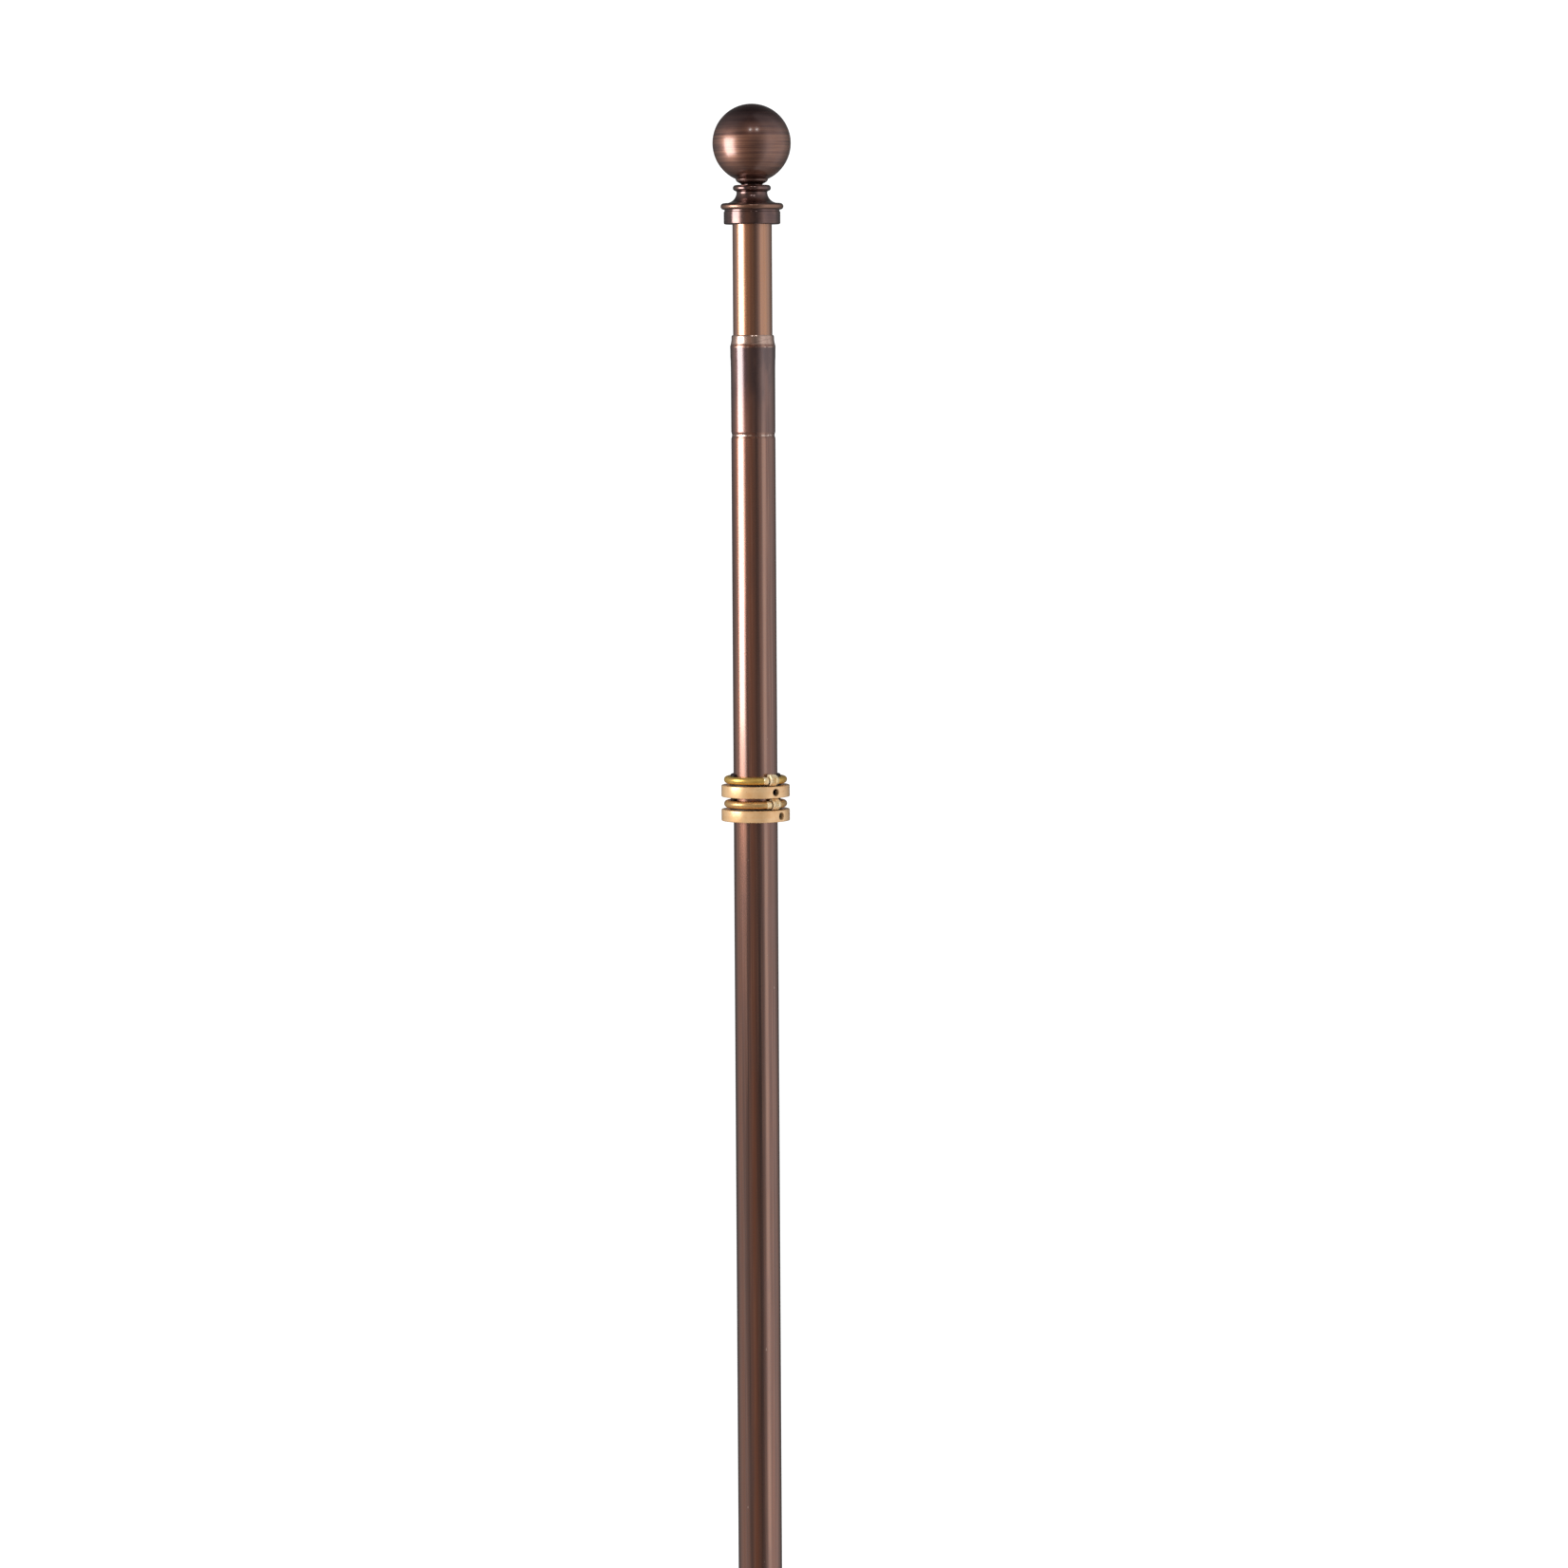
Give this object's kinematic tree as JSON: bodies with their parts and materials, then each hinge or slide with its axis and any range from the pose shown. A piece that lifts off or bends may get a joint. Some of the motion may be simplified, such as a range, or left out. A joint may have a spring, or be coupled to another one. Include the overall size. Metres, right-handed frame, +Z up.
{
  "type": "flag pole",
  "caption": "Telescoping copper flag pole with a ball finial, a twist lock and two turning clasp rings for a flag.",
  "frame": {"origin": "on the pole's axis, at the underside of the foot plug", "axes": "+Z up the pole to the ball, -Y to the front that the picture shows, +X to its right"},
  "size_m": [0.0448, 0.0448, 0.9778],
  "materials": {
    "copper_tube": "antique copper plate, brushed along the tube, dark patina",
    "bright_copper_tube": "antique copper plate, brushed along the tube, lightly aged",
    "copper_turned": "antique copper plate, polished turning, dark patina",
    "copper_ball": "antique copper plate, brushed round the ball",
    "satin_gold": "satin gold anodised",
    "gold_hoop": "brass, drawn and lightly polished",
    "bright_gold": "brass, filed facets",
    "dark_steel": "blackened steel",
    "plain_steel": "zinc plated",
    "plain_metal": "turned",
    "black_nylon": "moulded, satin",
    "acetal": "moulded, satin"
  },
  "bodies": {
    "outer_pole": {"outer_tube": "copper_tube", "foot_plug": "black_nylon", "guide_bush": "black_nylon"},
    "lock_shoe": {"lock_ring": "black_nylon"},
    "inner_pole": {"inner_tube": "bright_copper_tube", "tube_plug": "plain_metal", "finial_stud": "plain_steel", "finial_cap": "copper_turned", "finial_neck": "copper_turned", "finial_ball": "copper_ball", "lock_plug": "acetal", "lock_rivet": "plain_steel", "lock_washer": "plain_steel", "lock_screw": "plain_steel"},
    "ring_a_clamp": {"ring_a_sleeve": "black_nylon", "ring_a_collar": "satin_gold", "ring_a_set_screw": "dark_steel"},
    "ring_a_loop": {"ring_a_hoop": "gold_hoop", "ring_a_socket": "bright_gold", "ring_a_spring": "plain_steel", "ring_a_stop": "plain_metal"},
    "ring_a_gate": {"ring_a_bolt": "gold_hoop", "ring_a_slider": "bright_gold", "ring_a_pin": "plain_steel"},
    "ring_b_clamp": {"ring_b_sleeve": "black_nylon", "ring_b_collar": "satin_gold", "ring_b_set_screw": "dark_steel"},
    "ring_b_loop": {"ring_b_hoop": "gold_hoop", "ring_b_socket": "bright_gold", "ring_b_spring": "plain_steel", "ring_b_stop": "plain_metal"},
    "ring_b_gate": {"ring_b_bolt": "gold_hoop", "ring_b_slider": "bright_gold", "ring_b_pin": "plain_steel"}
  },
  "joints": [
    {"name": "telescope", "type": "slide", "parent": "outer_pole", "child": "lock_shoe", "axis": [0, 0, 1], "range_m": [-0.0625, 0.5465]},
    {"name": "twist_lock", "type": "hinge", "parent": "lock_shoe", "child": "inner_pole", "pos_m": [0, 0, 0.2372], "axis": [0, 0, 1], "range_deg": [-50, 50]},
    {"name": "ring_a_height", "type": "slide", "parent": "outer_pole", "child": "ring_a_clamp", "axis": [0, 0, 1], "range_m": [0, 0.191]},
    {"name": "ring_a_turn", "type": "hinge", "parent": "ring_a_clamp", "child": "ring_a_loop", "pos_m": [0, 0, 0.59105], "axis": [0, 0, 1], "continuous": true},
    {"name": "ring_a_open", "type": "hinge", "parent": "ring_a_loop", "child": "ring_a_gate", "pos_m": [0, 0, 0.59105], "axis": [0, 0, 1], "range_deg": [0, 20], "stiffness_Nm_per_rad": 0.02, "springref_deg": -17.19, "deforming": ["ring_a_spring"]},
    {"name": "ring_b_height", "type": "slide", "parent": "outer_pole", "child": "ring_b_clamp", "axis": [0, 0, 1], "range_m": [-0.459, 0]},
    {"name": "ring_b_turn", "type": "hinge", "parent": "ring_b_clamp", "child": "ring_b_loop", "pos_m": [0, 0, 0.57715], "axis": [0, 0, 1], "continuous": true},
    {"name": "ring_b_open", "type": "hinge", "parent": "ring_b_loop", "child": "ring_b_gate", "pos_m": [0, 0, 0.57715], "axis": [0, 0, 1], "range_deg": [0, 20], "stiffness_Nm_per_rad": 0.02, "springref_deg": -17.19, "deforming": ["ring_b_spring"]}
  ]
}
